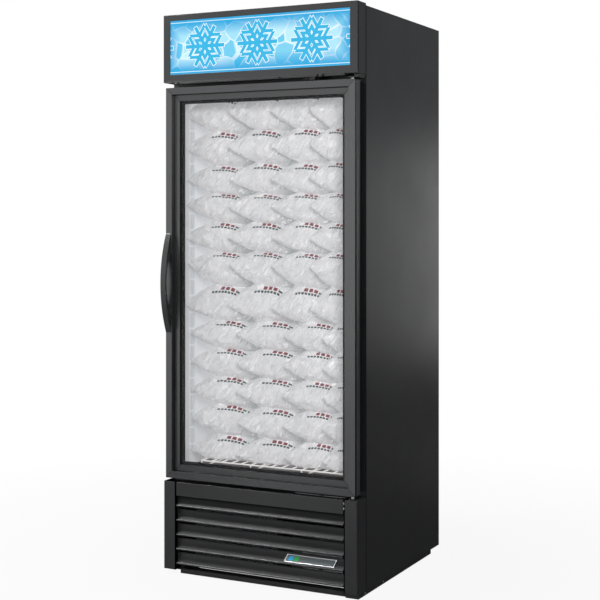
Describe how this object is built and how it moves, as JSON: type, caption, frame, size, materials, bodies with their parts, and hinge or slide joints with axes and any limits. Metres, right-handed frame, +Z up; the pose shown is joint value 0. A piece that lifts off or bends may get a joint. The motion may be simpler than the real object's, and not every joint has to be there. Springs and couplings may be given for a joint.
{
  "type": "ice merchandiser freezer",
  "caption": "Upright merchandising freezer with a glazed swing door, a lit sign header, a louvred machine compartment and a bow handle, standing on levelling feet.",
  "frame": {"origin": "on the floor, under the middle of the whole object with its handle", "axes": "+Z up, the door faces -Y, +X to the right of someone who looks at the door"},
  "size_m": [0.762, 0.796, 1.998],
  "materials": {
    "black_paint": "satin black powder coat",
    "base_paint": "matte black paint",
    "black_aluminium": "satin black coated extrusion",
    "black_plastic": "matte black",
    "handle_plastic": "fine moulded texture",
    "gasket_rubber": "soft matte",
    "white_liner": "white coated sheet",
    "white_plastic": "white sheet",
    "white_nylon": "smooth",
    "white_wire": "dip coated wire",
    "floor_steel": "brushed",
    "galvanised_sheet": "galvanised sheet",
    "plated_steel": "zinc plated",
    "insulation_foam": "rigid foam",
    "door_glass": "clear",
    "sign_plastic": "backlit translucent sheet",
    "lamp_board": "white lamp housing",
    "badge_metal": "satin with a bright border",
    "fin_aluminium": "mill finish",
    "copper_tube": "drawn copper"
  },
  "bodies": {
    "cabinet": {"side_panel_left": "black_paint", "side_panel_right": "black_paint", "top_panel": "black_paint", "back_panel": "galvanised_sheet", "rear_cover": "galvanised_sheet", "cord_gland": "black_plastic", "insulation_left": "insulation_foam", "insulation_right": "insulation_foam", "insulation_back": "insulation_foam", "insulation_floor": "insulation_foam", "insulation_top": "insulation_foam", "liner_left": "white_liner", "liner_right": "white_liner", "liner_back": "white_liner", "liner_ceiling": "white_liner", "liner_floor": "floor_steel", "face_frame": "black_plastic", "upper_front_wall": "white_plastic", "header_frame": "black_paint", "sign_panel": "sign_plastic", "sign_lamp": "lamp_board", "corner_trim_left": "black_paint", "corner_trim_right": "black_paint", "front_grille": "black_paint", "badge_plate": "badge_metal", "base_frame": "base_paint", "machine_tray": "galvanised_sheet", "hinge_bracket_bottom": "base_paint", "hinge_bracket_top": "base_paint", "condenser_coil": "fin_aluminium", "fan_shroud": "black_paint", "condenser_fan_motor": "plated_steel", "compressor": "black_paint", "liquid_line": "copper_tube", "control_box": "galvanised_sheet", "evaporator_cover": "white_liner", "evaporator_coil": "fin_aluminium", "evaporator_fan_motor": "plated_steel", "floor_rack": "white_wire", "led_bar_left": "lamp_board", "led_bar_right": "lamp_board"},
    "door": {"door_stile_left": "black_aluminium", "door_stile_right": "black_aluminium", "door_rail_bottom": "black_aluminium", "door_rail_top": "black_aluminium", "glass_outer": "door_glass", "glass_inner": "door_glass", "glass_spacer": "black_plastic", "gasket_carrier": "black_plastic", "door_gasket": "gasket_rubber", "door_handle": "handle_plastic", "hinge_bush_bottom": "white_nylon", "hinge_bush_top": "white_nylon"},
    "condenser_fan": {"condenser_fan_blade": "black_plastic"},
    "evaporator_fan": {"evaporator_fan_blade": "black_plastic"},
    "thermostat_dial": {"control_dial": "handle_plastic"},
    "leveller_front_left": {"foot_front_left": "plated_steel"},
    "leveller_front_right": {"foot_front_right": "plated_steel"},
    "leveller_rear_left": {"foot_rear_left": "plated_steel"},
    "leveller_rear_right": {"foot_rear_right": "plated_steel"}
  },
  "joints": [
    {"name": "door_hinge", "type": "hinge", "parent": "cabinet", "child": "door", "pos_m": [0.354, -0.3405, 1.041], "axis": [0, 0, 1], "range_deg": [0, 115], "stiffness_Nm_per_rad": 2, "springref_deg": -5.73},
    {"name": "condenser_fan_spin", "type": "hinge", "parent": "cabinet", "child": "condenser_fan", "pos_m": [-0.131, -0.2157, 0.1463], "axis": [0, 1, 0], "continuous": true},
    {"name": "evaporator_fan_spin", "type": "hinge", "parent": "cabinet", "child": "evaporator_fan", "pos_m": [0, -0.157, 1.85235], "axis": [0, 1, 0], "continuous": true},
    {"name": "thermostat_turn", "type": "hinge", "parent": "cabinet", "child": "thermostat_dial", "pos_m": [0.211, -0.2823, 0.0813], "axis": [0, 1, 0], "range_deg": [0, 270]},
    {"name": "leveller_front_left_screw", "type": "slide", "parent": "cabinet", "child": "leveller_front_left", "axis": [0, 0, -1], "range_m": [0, 0.025]},
    {"name": "leveller_front_right_screw", "type": "slide", "parent": "cabinet", "child": "leveller_front_right", "axis": [0, 0, -1], "range_m": [0, 0.025]},
    {"name": "leveller_rear_left_screw", "type": "slide", "parent": "cabinet", "child": "leveller_rear_left", "axis": [0, 0, -1], "range_m": [0, 0.025]},
    {"name": "leveller_rear_right_screw", "type": "slide", "parent": "cabinet", "child": "leveller_rear_right", "axis": [0, 0, -1], "range_m": [0, 0.025]}
  ]
}
